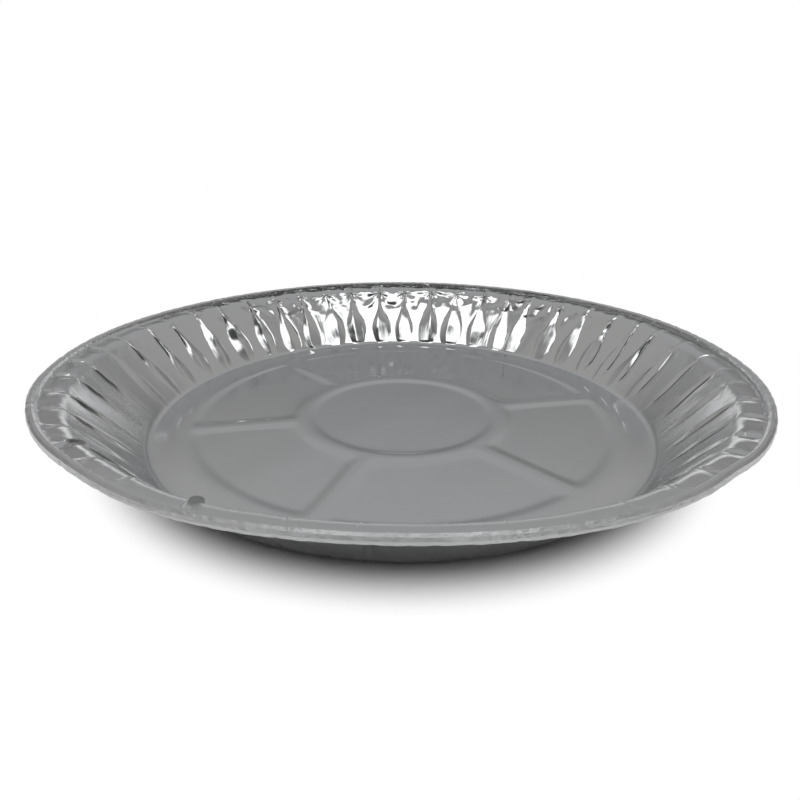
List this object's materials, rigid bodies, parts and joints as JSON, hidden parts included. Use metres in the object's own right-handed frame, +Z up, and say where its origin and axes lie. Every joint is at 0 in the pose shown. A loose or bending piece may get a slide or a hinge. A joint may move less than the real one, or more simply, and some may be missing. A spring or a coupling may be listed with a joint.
{
  "type": "foil pie tin",
  "caption": "Shallow round foil pie tin with a sloping gathered wall, a rolled rim and a base stiffened by embossed ribs.",
  "frame": {"origin": "centre of the underside of the base, on the plane that the tin stands on", "axes": "+Z up out of the tin, the first embossed spoke lies near +X, and the front of the pictured tin faces -Y"},
  "size_m": [0.2218, 0.2218, 0.0264],
  "materials": {
    "foil": "bright rolled foil"
  },
  "bodies": {
    "root": {"pie_tin": "foil"}
  },
  "joints": []
}
